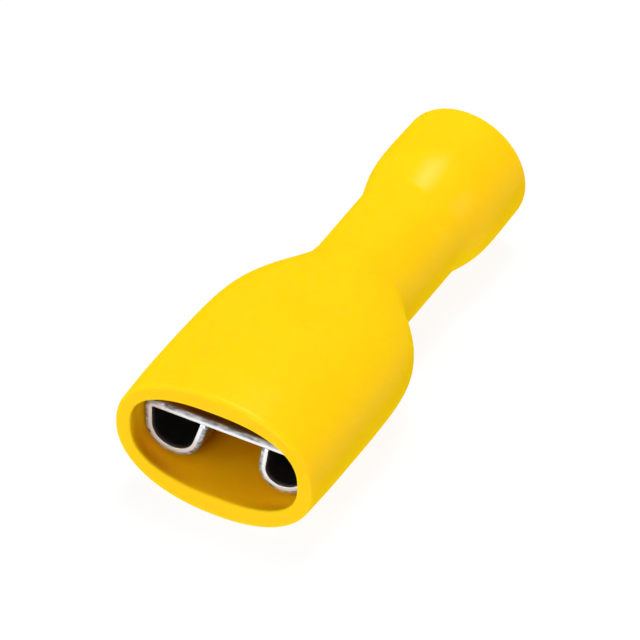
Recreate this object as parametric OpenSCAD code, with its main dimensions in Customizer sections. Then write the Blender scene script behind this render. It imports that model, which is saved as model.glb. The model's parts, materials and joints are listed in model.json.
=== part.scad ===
/* Insulated female spade terminal.

   A one-piece flexible sleeve, with an oval boot, a round neck and a flared wire
   entry, is moulded over a terminal that is folded from one piece of plated sheet:
   a flat plate with two curled wings for the tab, a trough, and a rolled barrel.

   Frame: +Y runs from the tab mouth to the wire entry and +Z is up. The origin lies
   under the middle of the part, on the surface that the part rests on. */

/* [What the part takes] */
// Width of the tab that the receptacle takes
tab_w = 9.5; // [7.9:0.05:11.4]
// Room beside the tab, on each side
tab_side_gap = 0.06; // [0.02:0.01:0.2]
// Diameter of the thickest insulation that the wire entry takes
insulation_d = 6.4; // [5.3:0.05:7.7]
// Room round the insulation
insulation_gap = 0.05; // [0.02:0.01:0.2]

/* [Receptacle] */
// Thickness of the sheet
sheet_t = 0.45; // [0.35:0.01:0.55]
// Length of the receptacle
receptacle_len = 9; // [7.4:0.1:11]
// Bend radius at the edges of the plate, along the middle of the sheet
corner_r = 0.4; // [0.3:0.01:0.6]
// Room between the end of each wing and the plate
lip_gap = 0.1; // [0.05:0.01:0.8]

/* [Left wing] */
// Depth from the top of the plate to the bottom of the left wing
left_depth = 3.36; // [2.8:0.01:4.1]
// Radius of the left wing's outer bend
left_outer_r = 1.45; // [1.1:0.01:1.8]
// Flat between the left wing's two bends
left_flat = 0.13; // [0.05:0.01:0.6]
// Radius of the left wing's inner bend
left_inner_r = 1.56; // [0.9:0.01:1.7]
// Turn of the left wing's inner bend, where 90 sets its end upright
left_turn = 72; // [65:1:105]

/* [Right wing] */
// Depth from the top of the plate to the bottom of the right wing
right_depth = 3.23; // [2.8:0.01:4.1]
// Radius of the right wing's outer bend
right_outer_r = 1.73; // [1.1:0.01:1.8]
// Flat between the right wing's two bends
right_flat = 0.05; // [0.05:0.01:0.6]
// Radius of the right wing's inner bend
right_inner_r = 1.1; // [0.8:0.01:1.6]
// Turn of the right wing's inner bend, where 90 sets its end upright
right_turn = 98; // [65:1:105]

/* [Plate details] */
// Diameter of the detent's dimple where it leaves the plate
detent_d = 1.9; // [1.2:0.1:2.5]
// Depth that the dimple reaches below the plate
detent_depth = 0.3; // [0.1:0.05:0.45]
// Distance from the front edge of the plate to the dimple
detent_from_front = 4.6; // [3:0.1:6]
// Width of the notch that the shear leaves in the plate's front edge
notch_w = 0.26; // [0.1:0.01:0.4]
// Distance of the notch from the left side of the receptacle
notch_inset = 1.35; // [0.9:0.01:1.6]

/* [Trough] */
// Length of the trough between the receptacle and the barrel
trough_len = 5.15; // [4.2:0.05:6.5]
// Half of the sheet's flat width where the trough leaves the plate
trough_front_half = 3; // [2.4:0.1:3.6]
// Half of the sheet's flat width where the trough joins the barrel
trough_rear_half = 4.1; // [3:0.1:5]
// Thinning of the trough on each face where it runs into the barrel's wall
trough_ease = 0.07; // [0.05:0.01:0.09]

/* [Barrel] */
// Outer diameter of the rolled barrel
barrel_d = 5.2; // [4.3:0.05:6.25]
// Length of the rolled barrel
barrel_len = 6.6; // [5.5:0.1:8]
// Width of the seam where the barrel's edges meet
seam_gap = 0.12; // [0.05:0.01:0.3]
// Number of gripping grooves inside the barrel
grooves = 3; // [1:1:4]
// Width of a groove
groove_w = 0.35; // [0.2:0.01:0.5]
// Depth of a groove
groove_depth = 0.08; // [0.03:0.01:0.15]

/* [Boot] */
// Wall beside the receptacle
side_wall = 0.835; // [0.8:0.005:1.2]
// Room in the pocket above the plate
room_above = 2.24; // [1.8:0.01:2.7]
// Room in the pocket below the deeper wing
room_below = 0.44; // [0.35:0.01:0.8]
// Room between the receptacle and each side of the pocket
pocket_gap = 0.08; // [0.05:0.01:0.2]
// Distance from the mouth's rim to the front edge of the receptacle
recess = 1.65; // [1.3:0.05:2.2]
// Wall at the sides of the mouth's rim
rim_side = 0.94; // [0.85:0.01:1.3]
// Wall at the top and bottom of the mouth's rim
rim_cap = 1.23; // [1:0.01:1.5]
// Height of the mouth's opening above the middle of the boot
opening_lift = 0.12; // [0:0.01:0.2]
// Squareness of the mouth's outline, where 2 is an ellipse
mouth_n = 2.19; // [2.1:0.01:2.6]
// Length of the straight part of the boot
boot_len = 2.7; // [2:0.1:4]
// Widening of the boot on each side, per millimetre of length
boot_draft = 0.043; // [0:0.001:0.05]
// Wall round the shoulder
shoulder_wall = 0.8; // [0.6:0.05:0.8]
// Height over the neck at which the shoulder starts to round into it
shoulder_fillet = 0.3; // [0.1:0.05:0.5]
// Radius of the rounded edges of the rims
edge_r = 0.28; // [0.1:0.01:0.35]

/* [Neck and wire entry] */
// Wall of the neck round the barrel
neck_wall = 0.755; // [0.6:0.005:1]
// Room between the barrel and the neck's bore
barrel_gap = 0.02; // [0.02:0.01:0.1]
// Drop of the neck's axis below the middle of the mouth
neck_drop = 0.16; // [0:0.01:0.2]
// Length of the flare between the neck and the wire entry
flare_len = 3.65; // [3:0.05:4.5]
// Length of the straight wire entry
entry_len = 3.9; // [2.5:0.05:5]
// Wall of the wire entry
entry_wall = 0.8; // [0.6:0.05:1.1]

/* [Hidden] */
$fn = 72;

ring_points = 56;
bend_steps = 8;
eps = 0.01;

// The receptacle across, and the barrel with the bore that holds it
receptacle_w = tab_w + 2*tab_side_gap + 2*sheet_t;
receptacle_depth = max(left_depth, right_depth);
barrel_r = barrel_d/2;
barrel_bore_r = barrel_r - sheet_t;
bore_r = barrel_r + barrel_gap;

// The mouth, sized round the receptacle
mouth_w = receptacle_w + 2*pocket_gap + 2*side_wall;
mouth_h = receptacle_depth + room_above + room_below + 2*rim_cap;
pocket_half_w = receptacle_w/2 + pocket_gap;
pocket_top = mouth_h/2 - rim_cap + opening_lift;
pocket_bottom = opening_lift - mouth_h/2 + rim_cap;
plate_lift = pocket_top - room_above;
plate_mid = plate_lift - sheet_t/2;

// How the neck seats in the shoulder: how far in it starts, how far the barrel lies in past
// that, and how far the shoulder's outside and its funnel run in under the neck and the bore
seat_len = 0.9;
barrel_start = 0.2;
tuck = 0.02;
funnel_tuck = 0.2;
// How far the neck runs on past the barrel, and its bore on past the neck
neck_beyond = 0.1;
bore_beyond = 0.2;

// Lengths along the part, from the mouth's rim
trough_y = recess + receptacle_len;
barrel_y = trough_y + trough_len;
neck_y = barrel_y - barrel_start + seat_len;
shoulder_len = neck_y - boot_len;
flare_y = barrel_y + barrel_len + neck_beyond;
entry_y = flare_y + flare_len;
sleeve_len = entry_y + entry_len;

neck_r = bore_r + neck_wall;
shoulder_r = neck_r - tuck;
entry_bore_r = insulation_d/2 + insulation_gap;
entry_r = entry_bore_r + entry_wall;

// How the shoulder closes in on top and underneath
top_hold = 1;
top_ease = 0.57;
bottom_hold = 2.1;
bottom_ease = 0.48;

// How much squarer it is half way along, and the boot's draft on top as a share of its sides'
bulge = 0.73;
cap_draft = 0.6;

// Its sides have closed in, where the receptacle ends, by no more than the wall can spare
side_ease = 2.7;
spare_wall = max(side_wall + boot_draft*boot_len - shoulder_wall, 0.02);
side_rise = mouth_w/2 + boot_draft*boot_len - shoulder_r;
closed_share = spare_wall/side_ease/side_rise;
side_hold = ln(closed_share)/ln((trough_y + shoulder_wall/2 - boot_len)/shoulder_len);

// The opening's edge and squareness, and how far in the pocket takes its full shape
inner_edge_r = 0.22;
opening_n = 2.49;
pocket_n = 3.8;
lip_len = 1.3;

// ---- Shapes shared by both pieces ----

function last(list) = list[len(list) - 1];

// 0 at a, 1 at b, level at both
function smoothstep(a, b, v) = let (t = min(max((v - a)/(b - a), 0), 1)) t*t*(3 - 2*t);

// One ring of an oval tube at y: half width a, rise up and drop down about height z, squareness n
function oval(a, up, down, n, y, z) = [for (i = [0:ring_points - 1]) let (
    t = -360*i/ring_points,
    c = cos(t),
    s = sin(t)
) [a*sign(c)*pow(abs(c), 2/n), y, z + (s > 0 ? up : down)*sign(s)*pow(abs(s), 2/n)]];

// A closed skin over rings that follow one another and end where they began
module ring_skin(rings) {
    n = len(rings[0]);
    m = len(rings);
    polyhedron(
        points = [for (r = rings) each r],
        faces = [for (j = [0:m - 1], i = [0:n - 1]) let (k = (i + 1)%n, l = (j + 1)%m)
            each [[j*n + i, l*n + i, l*n + k], [j*n + i, l*n + k, j*n + k]]],
        convexity = 6
    );
}

// A skin over rings that each run along a strip's top and back along its underside,
// with a flat end made of narrow quads
module strip_skin(rings) {
    n = len(rings[0]);
    m = len(rings);
    half = n/2;
    last_ring = (m - 1)*n;
    polyhedron(
        points = [for (r = rings) each r],
        faces = [
            for (i = [0:half - 2]) [i, i + 1, n - 2 - i, n - 1 - i],
            for (i = [0:half - 2]) [last_ring + i + 1, last_ring + i, last_ring + n - 1 - i, last_ring + n - 2 - i],
            for (j = [0:m - 2], i = [0:n - 1]) let (k = (i + 1)%n)
                each [[j*n + i, (j + 1)*n + i, (j + 1)*n + k], [j*n + i, (j + 1)*n + k, j*n + k]]
        ],
        convexity = 6
    );
}

// Turns a profile drawn as [radius, y] into a ring about the neck's axis
module about_neck() {
    translate([0, 0, -neck_drop])
        rotate([-90, 0, 0])
            rotate_extrude()
                children();
}

// ---- Sleeve ----

// How far along the shoulder y is: 0 at the boot, 1 where it meets the neck, and more past that
function along(y) = max((y - boot_len)/shoulder_len, 0);

// Falls from 1 at the boot to 0 at the neck: a later fall for a higher hold, a rounder end for a lower ease
function fall(y, hold, ease) = let (left = 1 - pow(along(y), hold)) sign(left)*pow(abs(left), ease);

// A height over the neck, rounded off to 0 where the shoulder runs into it
function rounded(height) = let (near = max(shoulder_fillet - abs(height), 0))
    max(height, 0) + near*near/(4*shoulder_fillet);

// The outside at y: half width, rise above and drop below its middle, squareness and middle height
function outer_half_w(y) = mouth_w/2 + boot_draft*min(y, boot_len) - shoulder_r;
function outer_half_h(y) = mouth_h/2 + cap_draft*boot_draft*min(y, boot_len) - shoulder_r;
function outer_a(y) = shoulder_r + rounded(outer_half_w(y)*fall(y, side_hold, side_ease));
function outer_up(y) = shoulder_r + rounded(outer_half_h(y)*fall(y, top_hold, top_ease));
function outer_down(y) = shoulder_r + rounded(outer_half_h(y)*fall(y, bottom_hold, bottom_ease));
function outer_n(y) = let (t = min(along(y), 1)) 2 + (mouth_n - 2)*(1 - t) + bulge*t*(1 - t);
function middle_z(y) = -neck_drop*smoothstep(0, 1, along(y));

// The pocket at y: half width, ceiling, floor and squareness. It opens out behind the rim,
// follows the outside where the shoulder closes in, and ends as a funnel inside the bore
function wall_at(y) = shoulder_wall + funnel_tuck*smoothstep(0.7, 1, along(y));
function pocket_a(y) = let (
    opening = mouth_w/2 - rim_side,
    behind = opening + (pocket_half_w - opening)*smoothstep(0, lip_len, y)
) min(behind, outer_a(y + shoulder_wall/2) - wall_at(y));
function pocket_up(y) = min(pocket_top, outer_up(y + shoulder_wall/2) + middle_z(y) - wall_at(y));
function pocket_down(y) = max(pocket_bottom, -outer_down(y + shoulder_wall/2) + middle_z(y) + wall_at(y));
function pocket_squareness(y) = opening_n
    + (pocket_n - opening_n)*smoothstep(0, lip_len, y)
    + (2 - pocket_n)*smoothstep(0.6, 1, along(y));

function outer_ring(y, inset = 0) =
    oval(outer_a(y) - inset, outer_up(y) - inset, outer_down(y) - inset, outer_n(y), y, middle_z(y));
function pocket_ring(y, inset = 0) = let (half_h = (pocket_up(y) - pocket_down(y))/2)
    oval(pocket_a(y) - inset, half_h - inset, half_h - inset, pocket_squareness(y), y, pocket_up(y) - half_h);
function round_ring(y, r) = oval(r, r, r, 2, y, -neck_drop);

// Places along the shoulder, closer together towards the neck, along its fillet and along the pocket
shoulder_steps = 18;
shoulder_ys = [for (i = [1:shoulder_steps]) boot_len + shoulder_len*(1 - pow(1 - i/shoulder_steps, 1.5))];
fillet_len = shoulder_len*(pow(1 + pow(shoulder_fillet/outer_half_h(boot_len), 1/top_ease), 1/top_hold) - 1);
fillet_ys = [for (t = [0.05, 0.2, 0.5, 1]) neck_y + fillet_len*t];
pocket_steps = 14;
pocket_end = neck_y - shoulder_wall/2;
pocket_ys = [for (i = [0:pocket_steps]) lip_len + (pocket_end - lip_len)*i/pocket_steps];

// The oval boot and its shoulder, hollow, down to a round end in the neck's wall
module boot() {
    ring_skin(concat(
        [for (t = [0:30:90]) outer_ring(edge_r*(1 - cos(t)), edge_r*(1 - sin(t)))],
        [outer_ring(boot_len/2), outer_ring(boot_len)],
        [for (y = concat(shoulder_ys, fillet_ys)) outer_ring(y)],
        [round_ring(last(fillet_ys), bore_r - funnel_tuck)],
        [for (i = [pocket_steps:-1:0]) pocket_ring(pocket_ys[i])],
        [for (y = [0.75, 0.5]*lip_len) pocket_ring(y)],
        [for (t = [80:-20:0]) pocket_ring(inner_edge_r*(1 - cos(t)), inner_edge_r*(sin(t) - 1))]
    ));
}

// Radius of the outside of the flare at y, an S curve from the neck to the wire entry
function flare_r(y) = neck_r + (entry_r - neck_r)*smoothstep(flare_y, entry_y, y);

// The outside of the round neck, the flare and the wire entry
module neck_and_entry() {
    about_neck()
        polygon(concat(
            [[0, neck_y - seat_len], [neck_r, neck_y - seat_len], [neck_r, flare_y]],
            [for (i = [1:9]) let (y = flare_y + flare_len*i/10) [flare_r(y), y]],
            [[entry_r, entry_y]],
            [for (t = [0:22.5:90]) [entry_r - edge_r*(1 - cos(t)), sleeve_len - edge_r*(1 - sin(t))]],
            [[0, sleeve_len]]
        ));
}

// The barrel's bore, the lead-in for the wire and the wire entry's bore
module bores() {
    bore_start = neck_y - 3*seat_len;
    about_neck()
        polygon([
            [0, bore_start],
            [bore_r, bore_start],
            [bore_r, flare_y + bore_beyond],
            [entry_bore_r, entry_y],
            [entry_bore_r, sleeve_len - edge_r/2],
            [entry_bore_r + edge_r, sleeve_len + edge_r/2],
            [0, sleeve_len + edge_r/2]
        ]);
}

module insulating_sleeve() {
    color("gold")
        placed()
            difference() {
                union() {
                    boot();
                    neck_and_entry();
                }
                bores();
            }
}

// ---- Terminal ----

// A bend in the sheet from a station [x, z, heading], as stations along its middle line
function bend(from, turn, r) = let (side = sign(turn)) [for (i = [1:bend_steps])
    let (h = from[2] + turn*i/bend_steps) [
        from[0] + side*r*(sin(h) - sin(from[2])),
        from[1] - side*r*(cos(h) - cos(from[2])),
        h
    ]];
function ahead(from, d) = [from[0] + d*cos(from[2]), from[1] + d*sin(from[2]), from[2]];

// The middle line of one wing: corner, side, outer bend, flat, inner bend and lip
function wing_line(depth, outer_r, flat, inner_r, turn) = let (
    start = [receptacle_w/2 - sheet_t/2 - corner_r, plate_mid, 0],
    corner = bend(start, -90, corner_r),
    side = ahead(last(corner), depth - sheet_t - corner_r - outer_r),
    outer = bend(side, -90, outer_r),
    floor_end = ahead(last(outer), flat),
    inner = bend(floor_end, -turn, inner_r),
    tip_z = plate_mid - sheet_t/2 - lip_gap,
    tip = ahead(last(inner), (tip_z - last(inner)[1])/sin(last(inner)[2]))
) concat([[0, plate_mid, 0], start], corner, [side], outer, [floor_end], inner, [tip]);

// The sheet's face on one side of its middle line
function sheet_face(line, d) = [for (p = line) [p[0] - d*sin(p[2]), p[1] + d*cos(p[2])]];

module wing_section(line) {
    far = sheet_face(line, -sheet_t/2);
    polygon(concat(sheet_face(line, sheet_t/2), [for (i = [len(far) - 1:-1:0]) far[i]]));
}

// The plate and its two wings, which don't close by the same amount
module receptacle() {
    translate([0, trough_y, 0])
        rotate([90, 0, 0])
            linear_extrude(receptacle_len) {
                wing_section(wing_line(right_depth, right_outer_r, right_flat, right_inner_r, right_turn));
                mirror([1, 0])
                    wing_section(wing_line(left_depth, left_outer_r, left_flat, left_inner_r, left_turn));
            }
}

// The V notch in the top of the plate's front edge, half as deep as it is wide
module notch() {
    side = notch_w/sqrt(2);
    translate([notch_inset - receptacle_w/2, recess, plate_lift])
        rotate([0, 45, 0])
            cube([side, 2*notch_w, side], center = true);
}

// A dimple pressed down through the plate, which drops into the hole in a tab
module detent(grow) {
    cap_r = (detent_d*detent_d/4 + detent_depth*detent_depth)/(2*detent_depth);
    translate([0, recess + detent_from_front, plate_lift - sheet_t - detent_depth + cap_r])
        sphere(r = cap_r + grow);
}

// One station of the trough: the sheet bent to a radius r about its crown at height z
function trough_ring(y, z, r, half, t) = let (
    steps = 14,
    s = [for (i = [0:steps]) half*(2*i/steps - 1)],
    up = [for (v = s) let (h = v/r*180/PI) [(r + t/2)*sin(h), y, z - r + (r + t/2)*cos(h)]],
    down = [for (v = s) let (h = v/r*180/PI) [(r - t/2)*sin(h), y, z - r + (r - t/2)*cos(h)]]
) concat(up, [for (i = [steps:-1:0]) down[i]]);

// The trough, whose sheet rolls up from flat at the plate to the barrel's radius
module trough() {
    steps = 8;
    rear_y = barrel_y + 0.15;
    barrel_mid_r = barrel_r - sheet_t/2;
    crown = barrel_mid_r - neck_drop;
    strip_skin([for (i = [0:steps]) let (
        u = i/steps,
        roll = smoothstep(0, 1, u),
        curvature = 0.02 + (1/barrel_mid_r - 0.02)*roll
    ) trough_ring(
        trough_y - eps + (rear_y - trough_y + eps)*u,
        plate_mid + (crown - plate_mid)*roll,
        1/curvature,
        trough_front_half + (trough_rear_half - trough_front_half)*roll,
        sheet_t - 2*trough_ease*roll
    )]);
}

// The rolled wire barrel, with its seam underneath and grooves that grip the strands
module barrel() {
    pitch = barrel_len/(grooves + 1);
    difference() {
        translate([0, barrel_y, -neck_drop])
            rotate([-90, 0, 0])
                difference() {
                    cylinder(h = barrel_len, r = barrel_r);
                    translate([0, 0, -1])
                        cylinder(h = barrel_len + 2, r = barrel_bore_r);
                    translate([0, 0, barrel_len - sheet_t/2])
                        cylinder(h = sheet_t, r1 = barrel_bore_r, r2 = barrel_bore_r + sheet_t);
                }
        translate([-seam_gap/2, barrel_y - 1, -neck_drop - barrel_r - 1])
            cube([seam_gap, barrel_len + 2, sheet_t + 1.5]);
        for (i = [1:grooves])
            translate([0, barrel_y + i*pitch - groove_w/2, -neck_drop])
                rotate([-90, 0, 0])
                    cylinder(h = groove_w, r = barrel_bore_r + groove_depth);
    }
}

module terminal() {
    color("silver")
        placed()
            union() {
                difference() {
                    union() {
                        receptacle();
                        intersection() {
                            detent(0);
                            translate([-detent_d, recess, plate_lift - sheet_t - 2*detent_depth])
                                cube([2*detent_d, receptacle_len, sheet_t + detent_depth]);
                        }
                    }
                    detent(-sheet_t);
                    notch();
                }
                trough();
                barrel();
            }
}

// Height of the mouth's middle as the part rests on its boot or its wire entry
rest_z = max(concat(
    [entry_r + neck_drop],
    [for (y = concat([boot_len], shoulder_ys)) outer_down(y) - middle_z(y)]
));

// Sets the part down: middle of its length over the origin, underside on z = 0
module placed() {
    translate([0, -sleeve_len/2, rest_z])
        children();
}

insulating_sleeve();
terminal();
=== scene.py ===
"""Looks of an insulated female spade terminal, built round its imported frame.

Two pieces stand for the two CAD nodes: a satin vinyl sleeve, lofted from oval and round
stations, and a terminal folded, rolled and given its thickness from one sheet of tinned
brass. Sizes are in millimetres until a finished mesh is brought to metres and set down.
"""

import json  # noqa: E402
import logging  # noqa: E402
import math  # noqa: E402
from dataclasses import dataclass, field  # noqa: E402
from enum import Enum, IntEnum  # noqa: E402

import bmesh  # noqa: E402
import bpy  # noqa: E402
from mathutils import Matrix, Vector  # noqa: E402


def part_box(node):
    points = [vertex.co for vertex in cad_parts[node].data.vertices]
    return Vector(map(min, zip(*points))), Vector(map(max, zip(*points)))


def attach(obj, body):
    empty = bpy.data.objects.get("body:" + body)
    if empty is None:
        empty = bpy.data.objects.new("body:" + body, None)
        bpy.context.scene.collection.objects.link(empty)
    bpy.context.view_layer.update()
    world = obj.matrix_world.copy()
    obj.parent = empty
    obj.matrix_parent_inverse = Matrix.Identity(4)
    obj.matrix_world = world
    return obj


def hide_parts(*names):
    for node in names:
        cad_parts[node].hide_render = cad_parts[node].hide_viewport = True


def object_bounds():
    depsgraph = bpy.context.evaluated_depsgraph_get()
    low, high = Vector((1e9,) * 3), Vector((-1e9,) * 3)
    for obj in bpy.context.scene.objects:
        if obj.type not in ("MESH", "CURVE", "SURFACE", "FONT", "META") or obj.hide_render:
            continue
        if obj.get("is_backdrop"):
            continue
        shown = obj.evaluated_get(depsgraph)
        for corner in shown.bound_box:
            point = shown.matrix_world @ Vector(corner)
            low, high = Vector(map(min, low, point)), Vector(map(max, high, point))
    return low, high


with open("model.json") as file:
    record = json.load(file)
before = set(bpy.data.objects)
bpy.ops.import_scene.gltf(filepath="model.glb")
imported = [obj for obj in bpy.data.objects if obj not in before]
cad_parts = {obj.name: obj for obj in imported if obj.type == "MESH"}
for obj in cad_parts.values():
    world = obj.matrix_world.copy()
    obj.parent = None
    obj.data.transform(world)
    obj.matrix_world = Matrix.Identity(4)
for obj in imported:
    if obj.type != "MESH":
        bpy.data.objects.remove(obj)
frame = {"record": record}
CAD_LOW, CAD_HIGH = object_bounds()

Triple = tuple[float, float, float]
Socket = bpy.types.NodeSocket
Edge = bmesh.types.BMEdge
Vert = bmesh.types.BMVert

LOG = logging.getLogger("spade_terminal")
ROOT_BODY = "root"
OUTER_SIDE = "outer_side"
WHITE: Triple = (1.0, 1.0, 1.0)
MM = 0.001
QUARTER = math.pi / 2

# Tolerances in millimetres: for doubles, for points in one place, for points at the barrel's
# ends and for points on its inner wall.
MERGE = 1e-5
TOUCH = 1e-3
NEAR = 0.01
WALL_SLACK = 0.05


class Node(Enum):
    """The CAD nodes that the pieces stand for."""

    SLEEVE = "insulating_sleeve"
    TERMINAL = "terminal"


class Slot(Enum):
    """The record's material slots."""

    VINYL = "sleeve_vinyl"
    METAL = "plated_metal"


class Wall(IntEnum):
    """The sleeve's materials, by their index on its mesh."""

    OUTSIDE = 0
    INSIDE = 1


class Sheet(IntEnum):
    """The terminal's materials, by their index on its mesh."""

    FACE = 0
    CUT_EDGE = 1


class SheetSide(Enum):
    """The two sides of the sheet, by their value on the layer that tells them apart."""

    INNER = 0.0
    OUTER = 1.0


class Side(Enum):
    """The two wings, by the way that each lies from the middle of the plate."""

    LEFT = -1
    RIGHT = 1


class MixSocket(IntEnum):
    """Places of a mix node's sockets where it mixes colours."""

    SHARE = 0
    RESULT = 2
    LOW = 6
    HIGH = 7


# ---- Numbers that shape curves ----


def clamp(value: float) -> float:
    """Return the value, held between 0 and 1."""
    return min(max(value, 0.0), 1.0)


def smoothstep(start: float, end: float, value: float) -> float:
    """Rise from 0 at start to 1 at end, level at both.

    Args:
        start: Where the rise starts.
        end: Where it ends.
        value: Where to read it.

    Returns:
        The height of the rise, from 0 to 1.
    """
    t = clamp((value - start) / (end - start))
    return t * t * (3 - 2 * t)


def soft_max(a: float, b: float, fillet: float) -> float:
    """Return the larger of a and b, with a rounded change from one to the other."""
    return (a + b + math.sqrt((a - b) ** 2 + fillet * fillet)) / 2


def soft_min(a: float, b: float, fillet: float) -> float:
    """Return the smaller of a and b, with a rounded change from one to the other."""
    return (a + b - math.sqrt((a - b) ** 2 + fillet * fillet)) / 2


def rounded(height: float, fillet: float) -> float:
    """Round a height off to 0 where it gets there, over a fillet's width to both sides."""
    near = max(fillet - abs(height), 0.0)
    return max(height, 0.0) + near * near / (4 * fillet)


def signed_power(base: float, exponent: float) -> float:
    """Return the size of base to the power of exponent, with the sign of base."""
    return math.copysign(abs(base) ** exponent, base)


def spread(start: float, end: float, count: int) -> list[float]:
    """Return count + 1 evenly spaced values from start to end."""
    return [start + (end - start) * i / count for i in range(count + 1)]


def put(name: str, data: bpy.types.ID) -> bpy.types.Object:
    """Put data into the scene.

    Args:
        name: Name of the object.
        data: Its mesh, light or camera.

    Returns:
        The object.
    """
    made = bpy.data.objects.new(name, data)
    bpy.context.scene.collection.objects.link(made)
    return made


# ---- Materials ----


class MaterialNodes:
    """A node tree that is put together a node at a time."""

    def __init__(self, name: str) -> None:
        """Start a material that has only a Principled shader and its output.

        Args:
            name: Name of the material.
        """
        self.material = bpy.data.materials.new(name)
        self.material.use_nodes = True
        self.tree = self.material.node_tree
        self.shader = self.tree.nodes["Principled BSDF"]
        self.place = self.add("ShaderNodeTexCoord").outputs["Object"]

    def add(self, kind: str, **settings: object) -> bpy.types.Node:
        """Add a node.

        Args:
            kind: Blender's name for the kind of node.
            **settings: Properties to set on it.

        Returns:
            The new node.
        """
        node = self.tree.nodes.new(kind)
        for name, value in settings.items():
            setattr(node, name, value)
        return node

    def link(self, start: Socket, end: Socket) -> None:
        """Join an output to an input."""
        self.tree.links.new(start, end)

    def drive(self, name: str, value: Socket) -> None:
        """Join an output to one of the shader's sockets."""
        self.link(value, self.shader.inputs[name])

    def constant(self, **sockets: object) -> None:
        """Set the shader's own sockets, named with _ for a space."""
        for name, value in sockets.items():
            self.shader.inputs[name.replace("_", " ")].default_value = value

    def stretched(self, scale: Triple) -> Socket:
        """Scale the piece's own coordinates.

        Args:
            scale: Units in a millimetre, along each axis.

        Returns:
            The coordinates.
        """
        mapping = self.add("ShaderNodeMapping")
        mapping.inputs["Scale"].default_value = [s / MM for s in scale]
        self.link(self.place, mapping.inputs["Vector"])
        return mapping.outputs["Vector"]

    def length(self) -> Socket:
        """Read the place along the part.

        Returns:
            The place, in metres.
        """
        split = self.add("ShaderNodeSeparateXYZ")
        self.link(self.place, split.inputs["Vector"])
        return split.outputs["Y"]

    def depth(self, full: float, start: float = 0.0, low: float = 0.0) -> Socket:
        """Make a value that rises to 1 with the depth behind the mouth.

        Args:
            full: Depth in millimetres where the value is 1.
            start: Depth where the rise starts.
            low: The value there.

        Returns:
            The value.
        """
        mouth = CAD_LOW.y
        return self.remap(self.length(), low, 1.0, mouth + start * MM, mouth + full * MM)

    def end_depth(self, full: float) -> Socket:
        """Make a value that rises from 0 at either end of the part.

        Args:
            full: Depth in millimetres inside the end where the value is 1.

        Returns:
            The value.
        """
        far = self.remap(self.length(), 1.0, 0.0, CAD_HIGH.y - full * MM, CAD_HIGH.y)
        least = self.add("ShaderNodeMath", operation="MINIMUM")
        self.link(self.depth(full), least.inputs[0])
        self.link(far, least.inputs[1])
        return least.outputs["Value"]

    def grain(self, scale: Triple, detail: float = 2.0, roughness: float = 0.5) -> Socket:
        """Add a noise pattern.

        Args:
            scale: Cycles of the pattern in a millimetre, along each axis.
            detail: Number of finer layers.
            roughness: Strength of the finer layers.

        Returns:
            The pattern's value, from 0 to 1.
        """
        noise = self.add("ShaderNodeTexNoise")
        noise.inputs["Scale"].default_value = 1.0
        noise.inputs["Detail"].default_value = detail
        noise.inputs["Roughness"].default_value = roughness
        self.link(self.stretched(scale), noise.inputs["Vector"])
        return noise.outputs["Fac"]

    def ramp(
        self, value: Socket, low: Triple, high: Triple, start: float = 0.3, end: float = 0.7
    ) -> Socket:
        """Turn a pattern into a blend of two colours.

        Args:
            value: The pattern.
            low: Colour where the pattern is at start or below.
            high: Colour where the pattern is at end or above.
            start: Lower value of the pattern.
            end: Upper value of the pattern.

        Returns:
            The colour.
        """
        node = self.add("ShaderNodeValToRGB")
        first, last = node.color_ramp.elements
        first.position = start
        last.position = end
        first.color = (*low, 1.0)
        last.color = (*high, 1.0)
        self.link(value, node.inputs["Fac"])
        return node.outputs["Color"]

    def mix(self, share: Socket, low: Socket | Triple, high: Socket | Triple) -> Socket:
        """Mix two colours, each plain or an output.

        Args:
            share: Share of the high colour, from 0 to 1.
            low: Colour where the share is 0.
            high: Colour where the share is 1.

        Returns:
            The colour.
        """
        node = self.add("ShaderNodeMix", data_type="RGBA")
        self.link(share, node.inputs[MixSocket.SHARE])
        for place, colour in ((MixSocket.LOW, low), (MixSocket.HIGH, high)):
            if isinstance(colour, Socket):
                self.link(colour, node.inputs[place])
            else:
                node.inputs[place].default_value = (*colour, 1.0)
        return node.outputs[MixSocket.RESULT]

    def remap(
        self, value: Socket, low: float, high: float, start: float = 0.25, end: float = 0.75
    ) -> Socket:
        """Bring a value into another range.

        Args:
            value: The value.
            low: Result where the value is at start.
            high: Result where it is at end.
            start: First end of the value's range.
            end: Second end of the value's range.

        Returns:
            The result.
        """
        node = self.add("ShaderNodeMapRange")
        node.inputs["From Min"].default_value = start
        node.inputs["From Max"].default_value = end
        node.inputs["To Min"].default_value = low
        node.inputs["To Max"].default_value = high
        self.link(value, node.inputs["Value"])
        return node.outputs["Result"]

    def relief(self, value: Socket, depth: float, under: Socket | None = None) -> Socket:
        """Make a bump from a pattern.

        Args:
            value: The pattern.
            depth: Depth of the bump, in millimetres.
            under: Normal of a coarser bump that this one lies on.

        Returns:
            The bumped normal.
        """
        bump = self.add("ShaderNodeBump")
        bump.inputs["Strength"].default_value = 1.0
        bump.inputs["Distance"].default_value = depth * MM
        self.link(value, bump.inputs["Height"])
        if under is not None:
            self.link(under, bump.inputs["Normal"])
        return bump.outputs["Normal"]


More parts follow.
